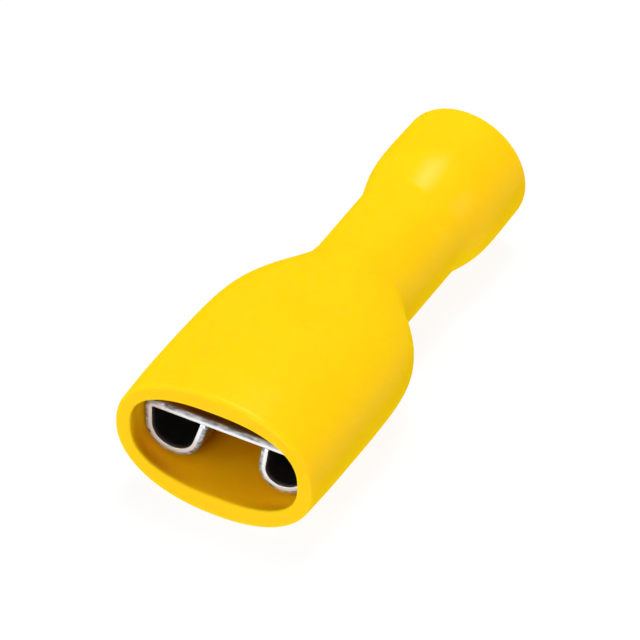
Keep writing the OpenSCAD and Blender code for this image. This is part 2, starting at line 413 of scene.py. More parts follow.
@dataclass(frozen=True)
class Vinyl:
    """Bright flexible vinyl with a satin moulded skin."""

    body: Triple = (0.95, 0.57, 0.006)
    dense: Triple = (0.94, 0.55, 0.0045)
    cloud_scale: Triple = (0.22, 0.16, 0.22)
    # painted shade: the deeper orange of the hollow, reached this far in from either end
    inner: Triple = (0.85, 0.345, 0.001)
    painted_shade_depth: float = 5.0
    scatter: float = 0.5
    reach: float = 0.9
    inner_scatter: float = 0.6
    inner_reach: float = 1.0
    scatter_spread: Triple = (1.0, 0.6, 0.02)
    ior: float = 1.16
    gloss: float = 0.5
    gloss_fade: tuple[float, float] = (0.2, 0.62)
    smooth: float = 0.24
    rough: float = 0.29
    skin_scale: Triple = (2.2, 1.6, 2.2)
    flow_scale: Triple = (0.35, 0.2, 0.35)
    flow_relief: float = 0.03
    grain_scale: Triple = (7.0, 5.0, 7.0)
    grain_relief: float = 0.0012

    def outside(self) -> bpy.types.Material:
        """Make the material of the outside and the rims.

        Returns:
            The material.
        """
        made = MaterialNodes("sleeve_vinyl")
        made.drive("Base Color", self.cloudy(made))
        self.add_skin(made, self.scatter, self.reach)
        return made.material

    def inside(self) -> bpy.types.Material:
        """Make the material of the inside, painted a deeper orange away from both ends as painted
        shade, with its wall letting light through.

        Returns:
            The material.
        """
        made = MaterialNodes("sleeve_vinyl_inside")
        # painted shade: the colour deepens to orange away from both ends, standing for the hollow's
        # shade and the light its yellow walls throw on each other
        colour = made.mix(made.end_depth(self.painted_shade_depth), self.cloudy(made), self.inner)
        made.drive("Base Color", colour)
        self.add_skin(made, self.inner_scatter, self.inner_reach)
        return made.material

    def cloudy(self, made: MaterialNodes) -> Socket:
        """Return the vinyl's own colour, which is a little denser in places."""
        return made.ramp(made.grain(self.cloud_scale, detail=3.0), self.dense, self.body)

    def add_skin(self, made: MaterialNodes, scatter: float, reach: float) -> None:
        """Give a material the mould's satin skin, whose gloss fades at a glancing view.

        Args:
            made: The material.
            scatter: Share of the light that goes through the vinyl.
            reach: How far it goes, in millimetres.
        """
        glance = made.add("ShaderNodeLayerWeight").outputs["Facing"]
        made.drive("Specular IOR Level", made.remap(glance, self.gloss, 0.0, *self.gloss_fade))
        skin = made.grain(self.skin_scale, detail=3.0)
        made.drive("Roughness", made.remap(skin, self.smooth, self.rough))
        flow = made.relief(made.grain(self.flow_scale, detail=1.0), self.flow_relief)
        fine = made.relief(made.grain(self.grain_scale), self.grain_relief, under=flow)
        made.drive("Normal", fine)
        made.constant(
            IOR=self.ior, Subsurface_Weight=scatter, Subsurface_Scale=reach * MM,
            Subsurface_Radius=self.scatter_spread,
        )


@dataclass(frozen=True)
class TinPlate:
    """Tin plate on rolled brass sheet, darkened towards the mouth by painted shade and worn by its
    front edge.
    """

    fresh: Triple = (0.62, 0.62, 0.615)
    # painted shade: the two colours below are the tin darkened where it lies in the mouth, mottled
    # at random
    shaded_light: Triple = (0.32, 0.32, 0.315)
    shaded_dark: Triple = (0.21, 0.21, 0.205)
    bloom_scale: Triple = (0.5, 0.3, 0.5)
    # depths in millimetres where the painted shade is full, and where it is gone
    full_shade_to: float = 7.0
    shade_gone_from: float = 14.0
    smooth: float = 0.28
    rough: float = 0.36
    roll_scale: Triple = (0.4, 7.0, 7.0)
    roll_relief: float = 0.002
    worn_from: float = 1.65
    worn_to: float = 1.98
    worn_metallic: float = 0.55

    def material(self) -> bpy.types.Material:
        """Make the material.

        Returns:
            The material.
        """
        made = MaterialNodes("tin_plate")
        # painted shade of the sheet near the mouth, fading out to the tin's own colour deeper in
        shaded_bloom = made.ramp(made.grain(self.bloom_scale), self.shaded_dark, self.shaded_light)
        fresh = made.depth(self.shade_gone_from, self.full_shade_to)
        made.drive("Base Color", made.mix(fresh, shaded_bloom, self.fresh))
        rolled = made.grain(self.roll_scale)
        made.drive("Roughness", made.remap(rolled, self.smooth, self.rough))
        made.drive("Normal", made.relief(rolled, self.roll_relief))
        whole = made.depth(self.worn_to, self.worn_from, self.worn_metallic)
        made.drive("Metallic", whole)
        return made.material


@dataclass(frozen=True)
class ShearedEdge:
    """The sheet's cut edge: a light burnished band on the inner side, partly painted highlight, and
    a darker torn one on the outer, partly painted shade.
    """

    # painted highlight and painted shade: the light inner band and the darker outer band, over the
    # shear's real burnish and tear
    burnished_highlight: Triple = (0.88, 0.92, 0.97)
    torn_shaded_light: Triple = (0.53, 0.55, 0.59)
    torn_shaded_dark: Triple = (0.12, 0.13, 0.15)
    torn_range: tuple[float, float] = (0.35, 0.62)
    band_change: tuple[float, float] = (0.4, 0.6)
    burnished_metallic: float = 0.35
    torn_metallic: float = 0.25
    tear_scale: Triple = (1.6, 5.0, 5.0)
    tear_strength: float = 0.55
    rough: float = 0.24
    smooth: float = 0.16
    tear_relief: float = 0.003

    def material(self) -> bpy.types.Material:
        """Make the material.

        Returns:
            The material.
        """
        made = MaterialNodes("sheared_edge")
        tear = made.grain(self.tear_scale, detail=3.0, roughness=self.tear_strength)
        torn_shaded = made.ramp(tear, self.torn_shaded_dark, self.torn_shaded_light, *self.torn_range)
        side = made.add("ShaderNodeAttribute", attribute_name=OUTER_SIDE).outputs["Fac"]
        outer = made.remap(side, 0.0, 1.0, *self.band_change)
        # painted highlight on the inner band and painted shade on the outer band, over the shear's
        # real burnish and tear
        made.drive("Base Color", made.mix(outer, self.burnished_highlight, torn_shaded))
        made.drive("Roughness", made.remap(tear, self.rough, self.smooth))
        made.drive("Normal", made.relief(tear, self.tear_relief))
        metallic = made.remap(outer, self.burnished_metallic, self.torn_metallic, 0.0, 1.0)
        made.drive("Metallic", metallic)
        return made.material


# ---- Pieces ----


class Piece:
    """A mesh that ends up in metres in the frame, with its object at the origin."""

    def __init__(self, name: str, node: Node, slot: Slot) -> None:
        """Start an empty piece.

        Args:
            name: Name of the piece.
            node: The CAD node that it stands for.
            slot: The record's material slot for its finish; not used.
        """
        self.name = name
        self.node = node
        self.slot = slot
        self.bm = bmesh.new()

    def finish(self, place: Matrix, materials: list[bpy.types.Material]) -> bpy.types.Object:
        """Bring the mesh to its place, give it its materials and tie it to the frame.

        Args:
            place: Turns millimetres about the mouth into metres in the frame.
            materials: The materials, in the order of the faces' indices.

        Returns:
            The finished object.
        """
        bmesh.ops.transform(self.bm, matrix=place, verts=self.bm.verts[:])
        for face in self.bm.faces:
            face.smooth = True
        mesh = bpy.data.meshes.new(self.name)
        self.bm.to_mesh(mesh)
        self.bm.free()
        for material in materials:
            mesh.materials.append(material)
        made = put(self.name, mesh)
        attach(made, ROOT_BODY)
        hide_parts(self.node.value)
        LOG.info("%s: %d faces", self.name, len(mesh.polygons))
        return made


@dataclass(frozen=True)
class Station:
    """One oval section of the sleeve, across its length."""

    y: float
    half_width: float
    rise: float
    drop: float
    squareness: float = 2.0
    middle_z: float = 0.0

    def point(self, turn: float) -> Vector:
        """Find a point of the oval.

        Args:
            turn: Its angle from +X.

        Returns:
            The point.
        """
        power = 2 / self.squareness
        across = self.half_width * signed_power(math.cos(turn), power)
        height = self.rise if math.sin(turn) > 0 else self.drop
        up = height * signed_power(math.sin(turn), power)
        return Vector((across, self.y, self.middle_z + up))

    def inset(self, depth: float, y: float, top_depth: float | None = None) -> "Station":
        """Draw the section in, at another place along the part.

        Args:
            depth: How far it is drawn in.
            y: The other place.
            top_depth: How far its top is drawn in, where that differs.

        Returns:
            The new section.
        """
        top = depth if top_depth is None else top_depth
        return Station(
            y, self.half_width - depth, self.rise - top, self.drop - depth,
            self.squareness, self.middle_z,
        )


class Loft:
    """A skin that grows a ring at a time and closes on itself."""

    def __init__(self, bm: bmesh.types.BMesh, first: Station, points: int) -> None:
        """Lay the first ring.

        Args:
            bm: Where the skin is made.
            first: The first section.
            points: Points in each ring.
        """
        self.bm = bm
        self.turn = bm.verts.layers.float.new("turn")
        ring = bmesh.ops.create_circle(bm, segments=points, radius=1.0)["verts"]
        for vert in ring:
            vert[self.turn] = math.atan2(vert.co.y, vert.co.x)
        self.edges = list(dict.fromkeys(edge for vert in ring for edge in vert.link_edges))
        self.settle(ring, first)

    def settle(self, ring: list[Vert], station: Station) -> None:
        """Move a ring's points onto a section."""
        for vert in ring:
            vert.co = station.point(vert[self.turn])

    def grow(self, station: Station, finish: Wall = Wall.OUTSIDE) -> None:
        """Extrude the last ring and move the new one onto a section.

        Args:
            station: The section.
            finish: Material of the new faces.
        """
        grown = bmesh.ops.extrude_edge_only(self.bm, edges=self.edges)["geom"]
        for face in (item for item in grown if isinstance(item, bmesh.types.BMFace)):
            face.material_index = finish
        self.edges = [e for e in grown if isinstance(e, Edge) and len(e.link_faces) == 1]
        self.settle([v for v in grown if isinstance(v, Vert)], station)

    def close(self) -> None:
        """Join the last ring to the first, in the same place, and face the skin outward."""
        bmesh.ops.remove_doubles(self.bm, verts=self.bm.verts[:], dist=MERGE)
        bmesh.ops.recalc_face_normals(self.bm, faces=self.bm.faces[:])


@dataclass(frozen=True)
class RingCounts:
    """How finely the sleeve's skin is divided: points in a ring, and rings in each stretch."""

    points: int = 160
    rim: int = 8
    boot: int = 6
    shoulder: int = 68
    neck: int = 5
    flare: int = 40
    entry: int = 4
    entry_rim: int = 7
    entry_lip: int = 4
    entry_bore: int = 4
    lead_in: int = 16
    bore: int = 6
    funnel: int = 60
    lip: int = 6
    opening: int = 6


@dataclass
class InsulatingSleeve:
    """The vinyl moulding: oval boot, shoulder, round neck, flare and wire entry."""

    length: float
    mouth_half_w: float = 6.175
    mouth_half_h: float = 4.25
    mouth_squareness: float = 2.19
    boot_len: float = 2.7
    side_draft: float = 0.043
    cap_draft: float = 0.0256
    neck_y: float = 16.5
    neck_r: float = 3.39
    neck_drop: float = 0.16
    neck_draft: float = 0.006
    shoulder_end: float = 18.7
    tube_start: float = 19.3
    flare_y: float = 22.8
    flare_len: float = 4.8
    flare_rise: float = 0.637
    flare_snap: float = 4.0
    entry_draw: float = 0.02
    entry_bore_r: float = 3.25
    bore_r: float = 2.62
    bore_start: float = 16.1
    lead_in_y: float = 22.7
    lead_in_end: float = 26.15
    rim_side: float = 0.94
    rim_cap: float = 1.23
    opening_lift: float = 0.12
    opening_squareness: float = 2.49
    pocket_half_w: float = 5.34
    pocket_squareness: float = 3.8
    lip_len: float = 1.3
    wall: float = 0.8
    funnel_end: float = 16.0
    funnel_tuck: float = 0.2
    funnel_blend: float = 0.06
    tuck_start: float = 0.7
    pocket_round_start: float = 0.6
    funnel_round_end: float = 0.95
    edge_r: float = 0.1
    top_edge_r: float = 0.3
    inner_edge_r: float = 0.12
    entry_edge_r: float = 0.14
    side_hold: float = 7.882
    side_ease: float = 2.7
    top_hold: float = 1.0
    top_ease: float = 0.57
    bottom_hold: float = 2.1
    bottom_ease: float = 0.48
    bulge: float = 0.73
    fillet: float = 0.3
    ring_gap: float = 0.2
    rings: RingCounts = RingCounts()

    def along(self, y: float) -> float:
        """Return how far y lies along the shoulder, 0 at the boot and 1 at the neck."""
        return max((y - self.boot_len) / (self.neck_y - self.boot_len), 0.0)

    def fall(self, y: float, hold: float, ease: float) -> float:
        """Return the shoulder's height, 1 at the boot and 0 at the neck, and below 0 past it.

        Args:
            y: Distance from the mouth's rim.
            hold: How late the fall starts.
            ease: How round it ends.

        Returns:
            The share that is left of the boot's height over the neck.
        """
        return signed_power(1 - self.along(y) ** hold, ease)

    def outside(self, y: float) -> Station:
        """Make an outer section of the boot, the shoulder or the neck.

        Args:
            y: Distance from the mouth's rim.

        Returns:
            The section.
        """
        t = min(self.along(y), 1.0)
        straight = min(y, self.boot_len)
        half_w = self.mouth_half_w + self.side_draft * straight - self.neck_r
        half_h = self.mouth_half_h + self.cap_draft * straight - self.neck_r
        neck = self.neck_radius(y)
        side = half_w * self.fall(y, self.side_hold, self.side_ease)
        top = half_h * self.fall(y, self.top_hold, self.top_ease)
        bottom = half_h * self.fall(y, self.bottom_hold, self.bottom_ease)
        square = 2 + (self.mouth_squareness - 2) * (1 - t) + self.bulge * t * (1 - t)
        return Station(
            y,
            neck + rounded(side, self.fillet),
            neck + rounded(top, self.fillet),
            neck + rounded(bottom, self.fillet),
            square,
            -self.neck_drop * smoothstep(0, 1, t),
        )

    def pocket(self, y: float) -> Station:
        """Make an inner section, between the opening and the funnel that meets the bore.

        Args:
            y: Distance from the mouth's rim.

        Returns:
            The section.
        """
        outer = self.outside(min(y + self.wall / 2, self.neck_y))
        t = min(self.along(y), 1.0)
        behind_lip = smoothstep(0, self.lip_len, y)
        wall = self.wall + self.funnel_tuck * smoothstep(self.tuck_start, 1, t)
        opening = self.mouth_half_w - self.rim_side
        half_w = opening + (self.pocket_half_w - opening) * behind_lip
        cap = self.mouth_half_h - self.rim_cap
        half_w = min(half_w, outer.half_width - wall)
        top = min(cap + self.opening_lift, outer.rise + outer.middle_z - wall)
        bottom = max(self.opening_lift - cap, -outer.drop + outer.middle_z + wall)
        square = (
            self.opening_squareness
            + (self.pocket_squareness - self.opening_squareness) * behind_lip
            + (2 - self.pocket_squareness) * smoothstep(self.pocket_round_start, 1, t)
        )
        half_h = (top - bottom) / 2
        return Station(y, half_w, half_h, half_h, square, top - half_h)

    def funnel(self, y: float) -> Station:
        """Make the pocket's section where it is wider than the bore, and else the bore's.

        Args:
            y: Distance from the mouth's rim.

        Returns:
            The section.
        """
        inner = self.pocket(y)
        low = -self.neck_drop - self.bore_r
        high = -self.neck_drop + self.bore_r
        half_w = soft_max(inner.half_width, self.bore_r, self.funnel_blend)
        top = soft_max(inner.middle_z + inner.rise, high, self.funnel_blend)
        bottom = soft_min(inner.middle_z - inner.drop, low, self.funnel_blend)
        half_h = (top - bottom) / 2
        near = smoothstep(self.tuck_start, self.funnel_round_end, min(self.along(y), 1.0))
        square = inner.squareness + (2 - inner.squareness) * near
        return Station(y, half_w, half_h, half_h, square, top - half_h)

    def neck_radius(self, y: float) -> float:
        """Find the outer radius of the neck, the flare and the wire entry.

        Args:
            y: Distance from the mouth's rim.

        Returns:
            The radius.
        """
        neck = self.neck_r + self.neck_draft * max(y - self.neck_y, 0.0)
        t = clamp((y - self.flare_y) / self.flare_len)
        flare = 1 - (1 - t) ** self.flare_snap * (1 + self.flare_snap * t)
        drawn_in = self.entry_draw * max(y - self.flare_y - self.flare_len, 0.0)
        return neck + self.flare_rise * flare - drawn_in

    def tube(self, y: float, radius: float) -> Station:
        """Return a round section about the neck's axis."""
        return Station(y, radius, radius, radius, 2.0, -self.neck_drop)

    def outer_stations(self) -> list[Station]:
        """Make the outside.

        Returns:
            Its sections, from the mouth's rim to the wire entry's.
        """
        rings = self.rings
        made = []
        for t in spread(0.0, QUARTER, rings.rim):
            y = self.top_edge_r * (1 - math.cos(t))
            drawn_in = 1 - math.sin(t)
            section = self.outside(y)
            made.append(section.inset(self.edge_r * drawn_in, y, self.top_edge_r * drawn_in))
        flare_end = self.flare_y + self.flare_len
        ovals = spread(self.top_edge_r, self.boot_len, rings.boot)[1:]
        ovals += spread(self.boot_len, self.shoulder_end, rings.shoulder)[1:]
        made += [self.outside(y) for y in ovals]
        rounds = spread(self.tube_start, self.flare_y, rings.neck)
        rounds += spread(self.flare_y, flare_end, rings.flare)[1:]
        rounds += spread(flare_end, self.length - self.edge_r, rings.entry)[1:]
        made += [self.tube(y, self.neck_radius(y)) for y in rounds]
        for t in spread(QUARTER, 0.0, rings.entry_rim)[1:]:
            y = self.length - self.edge_r * (1 - math.cos(t))
            made.append(self.tube(y, self.neck_radius(y) - self.edge_r * (1 - math.sin(t))))
        return made

    def entry_stations(self) -> list[Station]:
        """Make the inside of the wire entry, the lead-in and the bore.

        Returns:
            Their sections, from the wire entry's rim to the funnel.
        """
        rings, gap = self.rings, self.ring_gap
        made = []
        for t in spread(0.0, QUARTER, rings.entry_lip):
            y = self.length - self.entry_edge_r * (1 - math.cos(t))
            flared = self.entry_edge_r * (1 - math.sin(t))
            made.append(self.tube(y, self.entry_bore_r + flared))
        ys = spread(self.length - 4 * gap, self.lead_in_end + 2 * gap, rings.entry_bore)
        made += [self.tube(y, self.entry_bore_r) for y in ys]
        for y in spread(self.lead_in_end + gap, self.lead_in_y - gap, rings.lead_in):
            share = clamp((y - self.lead_in_y) / (self.lead_in_end - self.lead_in_y))
            made.append(self.tube(y, self.bore_r + (self.entry_bore_r - self.bore_r) * share))
        ys = spread(self.lead_in_y - 3 * gap, self.bore_start, rings.bore)
        return made + [self.tube(y, self.bore_r) for y in ys]

    def pocket_stations(self) -> list[Station]:
        """Make the funnel, the pocket and the opening.

        Returns:
            Their sections, from the bore to the mouth's rim.
        """
        rings = self.rings
        made = [self.funnel(y) for y in spread(self.funnel_end, self.lip_len, rings.funnel)]
        ys = spread(self.lip_len, self.inner_edge_r, rings.lip)[1:]
        made += [self.pocket(y) for y in ys]
        for t in spread(QUARTER, 0.0, rings.opening)[1:]:
            y = self.inner_edge_r * (1 - math.cos(t))
            made.append(self.pocket(y).inset(self.inner_edge_r * (math.sin(t) - 1), y))
        return made

    def build(self, place: Matrix, finish: Vinyl) -> bpy.types.Object:
        """Build the sleeve and dress it.

        Args:
            place: Turns millimetres about the mouth into metres in the frame.
            finish: The vinyl.

        Returns:
            The finished object.
        """
        piece = Piece("sleeve", Node.SLEEVE, Slot.VINYL)
        outer = self.outer_stations()
        skin = Loft(piece.bm, outer[0], self.rings.points)
        for station in outer[1:]:
            skin.grow(station)
        for station in self.entry_stations() + self.pocket_stations():
            skin.grow(station, Wall.INSIDE)
        skin.grow(outer[0])
        skin.close()
        return piece.finish(place, [finish.outside(), finish.inside()])


@dataclass(frozen=True)
class Wing:
    """One curled wing of the receptacle."""

    side: Side
    depth: float
    outer_r: float
    flat: float
    inner_r: float
    inner_turn: float


class SheetLine:
    """A line that runs across the sheet, drawn from its end like a wire being bent."""

    def __init__(self, bm: bmesh.types.BMesh, start: Vector, side: Side) -> None:
        """Start the line.

        Args:
            bm: Where the line is made.
            start: Its first point.
            side: The way that it first heads.
        """
        self.bm = bm
        self.side = side
        self.heading = Vector((side.value, 0, 0))
        self.tip = bmesh.ops.create_vert(bm, co=start)["vert"][0]

    def run(self, distance: float, steps: int = 1) -> None:
        """Carry the line straight on.

        Args:
            distance: How far.
            steps: Edges on the way.
        """
        for _ in range(steps):
            self.tip = bmesh.ops.extrude_vert_indiv(self.bm, verts=[self.tip])["verts"][0]
            step = self.heading * (distance / steps)
            bmesh.ops.translate(self.bm, verts=[self.tip], vec=step)

    def bend(self, degrees: float, radius: float, steps: int) -> None:
        """Carry the line on round a bend towards the underside of the plate.

        Args:
            degrees: Turn of the bend.
            radius: Radius along the middle of the sheet.
            steps: Facets in the bend.
        """
        angle = math.radians(degrees) * self.side.value
        inward = Matrix.Rotation(QUARTER * self.side.value, 3, "Y") @ self.heading
        centre = self.tip.co + inward * radius
        turn = Matrix.Rotation(angle / steps, 3, "Y")
        for _ in range(steps):
            self.tip = bmesh.ops.extrude_vert_indiv(self.bm, verts=[self.tip])["verts"][0]
            bmesh.ops.rotate(self.bm, cent=centre, matrix=turn, verts=[self.tip])
        self.heading = Matrix.Rotation(angle, 3, "Y") @ self.heading


@dataclass(frozen=True)
class FacetCounts:
    """How finely each stretch of the terminal's sheet is divided."""

    middle: int = 16
    to_notch: int = 4
    notch: int = 2
    past_notch: int = 3
    corner: int = 8
    leg: int = 5
    curl: int = 18
    lip: int = 3
    front: int = 5
    detent: int = 12
    back: int = 6
    trough: int = 20
    barrel: int = 14
    rollover: int = 4
    burr: int = 2


@dataclass
class Terminal:
    """The plated terminal, from one sheet: receptacle, trough and rolled barrel."""

    sheet_t: float = 0.45
    plate_top: float = 0.9
    front_y: float = 1.65
    receptacle_w: float = 10.52
    receptacle_len: float = 9.0
    corner_r: float = 0.4
    lip_gap: float = 0.04
    notch_w: float = 0.22
    notch_depth: float = 0.17
    notch_inset: float = 1.35
    front_strip: float = 0.6
    detent_r: float = 0.95
    detent_reach: float = 1.1
    detent_depth: float = 0.3
    detent_from_front: float = 4.6
    trough_front_half: float = 3.0
    trough_rear_half: float = 4.1
    barrel_y: float = 15.8
    barrel_r: float = 2.6
    barrel_len: float = 6.6
    barrel_drop: float = 0.16
    seam_gap: float = 0.12
    groove_count: int = 3
    groove_w: float = 0.35
    groove_depth: float = 0.08
    groove_rows: tuple[float, ...] = (-0.5, -0.3, 0.3, 0.5)
    groove_floor: float = 0.4
    rollover: float = 0.13
    burr_round: float = 0.03
    left: Wing = Wing(Side.LEFT, 3.36, 1.45, 0.13, 1.56, 72.0)
    right: Wing = Wing(Side.RIGHT, 3.23, 1.73, 0.05, 1.1, 98.0)
    facets: FacetCounts = FacetCounts()
    piece: Piece = field(init=False)

    @property
    def plate_mid(self) -> float:
        """Height of the middle of the plate's sheet."""
        return self.plate_top - self.sheet_t / 2

    @property
    def barrel_mid_r(self) -> float:
        """Radius of the middle of the barrel's sheet."""
        return self.barrel_r - self.sheet_t / 2

    @property
    def grooves(self) -> list[float]:
        """Places of the grooves along the barrel, from its front."""
        return spread(0.0, self.barrel_len, self.groove_count + 1)[1:-1]

    def cross_line(self, wing: Wing) -> None:
        """Draw half of the receptacle's front edge, from the middle of the plate to a wing's lip.

        Args:
            wing: The wing on that side.
        """
        facets = self.facets
        line = SheetLine(self.piece.bm, Vector((0, self.front_y, self.plate_mid)), wing.side)
        notch_x = self.receptacle_w / 2 - self.notch_inset
        flat_end = self.receptacle_w / 2 - self.sheet_t / 2 - self.corner_r
        line.run(self.trough_front_half, facets.middle)
        line.run(notch_x - self.notch_w / 2 - self.trough_front_half, facets.to_notch)
        line.run(self.notch_w, facets.notch)
        line.run(flat_end - notch_x - self.notch_w / 2, facets.past_notch)
        line.bend(90, self.corner_r, facets.corner)
        line.run(wing.depth - self.sheet_t - self.corner_r - wing.outer_r, facets.leg)
        line.bend(90, wing.outer_r, facets.curl)
        line.run(wing.flat)
        line.bend(wing.inner_turn, wing.inner_r, facets.curl)
        tip_z = self.plate_mid - self.sheet_t / 2 - self.lip_gap
        line.run((tip_z - line.tip.co.z) / line.heading.z, facets.lip)

    def rows(self) -> list[float]:
        """Divide the receptacle's length.

        Returns:
            The places of its rows, from its front edge.
        """
        reach = self.detent_reach * self.detent_r
        near, far = self.detent_from_front - reach, self.detent_from_front + reach
        stops = [0.0, self.notch_w] + spread(self.front_strip, near, self.facets.front)
        stops += spread(near, far, self.facets.detent)[1:]
        return stops + spread(far, self.receptacle_len, self.facets.back)[1:]

    def sweep(self, edges: list[Edge], step: float) -> list[Edge]:
        """Carry a row of edges back along the part.

        Args:
            edges: The row.
            step: How far back.

        Returns:
            The new row.
        """
        grown = bmesh.ops.extrude_edge_only(self.piece.bm, edges=edges)["geom"]
        verts = [v for v in grown if isinstance(v, Vert)]
        bmesh.ops.translate(self.piece.bm, verts=verts, vec=(0, step, 0))
        fresh = set(verts)
        return [e for e in grown if isinstance(e, Edge) and fresh.issuperset(e.verts)]

    def fold_receptacle(self) -> list[Edge]:
        """Make the plate and its wings as a sheet with no thickness.

        Returns:
            The edges at the back of the plate that the trough grows from.
        """
        bm = self.piece.bm
        for wing in (self.left, self.right):
            self.cross_line(wing)
        bmesh.ops.remove_doubles(bm, verts=bm.verts[:], dist=MERGE)
        row = bm.edges[:]
        stops = self.rows()
        for start, end in zip(stops, stops[1:]):
            row = self.sweep(row, end - start)
        width = self.trough_front_half + TOUCH
        floor = self.plate_mid - TOUCH
        return [e for e in row if all(abs(v.co.x) < width and v.co.z > floor for v in e.verts)]

    def roll_trough(self, row: list[Edge]) -> list[Edge]:
        """Roll the sheet up from the flat plate to the barrel's radius.

        Args:
            row: The edges at the back of the plate.

        Returns:
            The edges where the trough meets the barrel.
        """
        bm = self.piece.bm
        across = bm.verts.layers.float.new("across")
        for vert in bm.verts:
            vert[across] = vert.co.x / self.trough_front_half
        steps = self.facets.trough
        step = (self.barrel_y - self.front_y - self.receptacle_len) / steps
        widening = self.trough_rear_half - self.trough_front_half
        climb = self.barrel_mid_r - self.barrel_drop - self.plate_mid
        for i in range(1, steps + 1):
            roll = smoothstep(0, 1, i / steps)
            bend = roll / self.barrel_mid_r
            half = self.trough_front_half + widening * roll
            height = self.plate_mid + climb * roll
            row = self.sweep(row, step)
            for vert in dict.fromkeys(v for e in row for v in e.verts):
                angle = vert[across] * half * bend
                vert.co.x = math.sin(angle) / bend
                vert.co.z = height - (1 - math.cos(angle)) / bend
        return row

    def close_barrel(self, row: list[Edge]) -> list[Edge]:
        """Bend the barrel's front edge round until its ends nearly meet underneath.

        Args:
            row: The edges where the trough meets the barrel.

        Returns:
            The barrel's whole front edge.
        """
        centre = Vector((0, self.barrel_y, -self.barrel_drop))
        reach = self.trough_rear_half / self.barrel_mid_r
        stop = math.pi - self.seam_gap / 2 / self.barrel_mid_r
        ends = [v for e in row for v in e.verts]
        steps = self.facets.barrel
        for tip in [v for v in ends if ends.count(v) == 1]:
            way = 1 if tip.co.x > 0 else -1
            turn = Matrix.Rotation(way * (stop - reach) / steps, 3, "Y")
            for _ in range(steps):
                grown = bmesh.ops.extrude_vert_indiv(self.piece.bm, verts=[tip])
                tip = grown["verts"][0]
                bmesh.ops.rotate(self.piece.bm, cent=centre, matrix=turn, verts=[tip])
                row = row + grown["edges"]
        return row

    def roll_barrel(self, row: list[Edge]) -> None:
        """Carry the barrel back, with a row for each lip and floor of its grooves.

        Args:
            row: The barrel's front edge.
        """
        stops = [0.0]
        for place in self.grooves:
            stops += [place + share * self.groove_w for share in self.groove_rows]
        stops += [self.barrel_len - self.sheet_t / 2, self.barrel_len]
        for near, far in zip(stops, stops[1:]):
            row = self.sweep(row, far - near)

    def press_detent(self) -> None:
        """Press the dimple down into the plate."""
        centre = Vector((0, self.front_y + self.detent_from_front))
        for vert in self.piece.bm.verts:
            away = (vert.co.xy - centre).length / self.detent_r
            if away < self.detent_reach and vert.co.z > self.plate_mid - TOUCH:
                vert.co.z -= self.detent_depth * (1 - smoothstep(0.0, self.detent_reach, away))

    def thicken(self) -> None:
        """Give the sheet its thickness, half to each side, and mark its cut edges and sides."""
        bm = self.piece.bm
        bmesh.ops.recalc_face_normals(bm, faces=bm.faces[:])
        mesh = bpy.data.meshes.new("sheet")
        bm.to_mesh(mesh)
        bm.free()
        for _ in Sheet:
            mesh.materials.append(None)
        sheet = put("sheet", mesh)
        shell = sheet.modifiers.new("thickness", "SOLIDIFY")
        shell.thickness = self.sheet_t
        shell.offset = 0.0
        shell.use_even_offset = True
        shell.material_offset_rim = Sheet.CUT_EDGE
        graph = bpy.context.evaluated_depsgraph_get()
        thick = bpy.data.meshes.new_from_object(sheet.evaluated_get(graph))
        bm = bmesh.new()
        bm.from_mesh(thick)
        layer = bm.verts.layers.float.new(OUTER_SIDE)
        outer_count = len(bm.verts) // 2
        for vert in bm.verts:
            side = SheetSide.OUTER if vert.index < outer_count else SheetSide.INNER
            vert[layer] = side.value
        self.piece.bm = bm
        bpy.data.objects.remove(sheet)
        bpy.data.meshes.remove(mesh)
        bpy.data.meshes.remove(thick)

    def from_axis(self, vert: Vert) -> Vector:
        """Return the way to a point from the barrel's axis, square to it."""
        return Vector((vert.co.x, 0, vert.co.z + self.barrel_drop))

    def cut_grooves(self) -> None:
        """Sink the gripping grooves into the inside of the barrel."""
        inner = self.barrel_r - self.sheet_t
        for vert in self.piece.bm.verts:
            back = vert.co.y - self.barrel_y
            out = self.from_axis(vert)
            if back < NEAR or abs(out.length - inner) > WALL_SLACK:
                continue
            if min(abs(back - place) for place in self.grooves) < self.groove_floor * self.groove_w:
                vert.co += out.normalized() * self.groove_depth

    def open_rear(self) -> None:
        """Bevel the inside of the barrel's rear edge, where the wire goes in."""
        rear = self.barrel_y + self.barrel_len
        for vert in self.piece.bm.verts:
            out = self.from_axis(vert)
            if rear - vert.co.y < NEAR and out.length < self.barrel_mid_r:
                vert.co += out.normalized() * (self.barrel_mid_r - out.length)

    def corners(self, side: SheetSide) -> list[Edge]:
        """Find the corners along the cut edges.

        Args:
            side: The side of the sheet that they are on.

        Returns:
            The corners.
        """
        layer = self.piece.bm.verts.layers.float[OUTER_SIDE]
        return [
            e for e in self.piece.bm.edges
            if len(e.link_faces) == 2
            and e.link_faces[0].material_index != e.link_faces[1].material_index
            and all(abs(v[layer] - side.value) < TOUCH for v in e.verts)
        ]

    def round_edges(self) -> None:
        """Round the cut edges, widely where the shear rolled them over and else hardly."""
        for side, radius, facets in (
            (SheetSide.OUTER, self.rollover, self.facets.rollover),
            (SheetSide.INNER, self.burr_round, self.facets.burr),
        ):
            bevelled = bmesh.ops.bevel(
                self.piece.bm, geom=self.corners(side), offset=radius, offset_type="OFFSET",
                affect="EDGES", segments=facets, profile=0.5, material=-1, clamp_overlap=True,
            )
            for face in bevelled["faces"]:
                face.material_index = Sheet.CUT_EDGE

    def cut_notch(self) -> None:
        """Press the V notch into the top of the plate's front edge."""
        middle = self.notch_inset - self.receptacle_w / 2
        behind = self.front_y + self.notch_w
        for vert in self.piece.bm.verts:
            x, y, z = vert.co
            if y < behind and abs(x - middle) < self.notch_w / 4 and z > 0:
                vert.co.z -= self.notch_depth * smoothstep(self.plate_mid, self.plate_top, z)

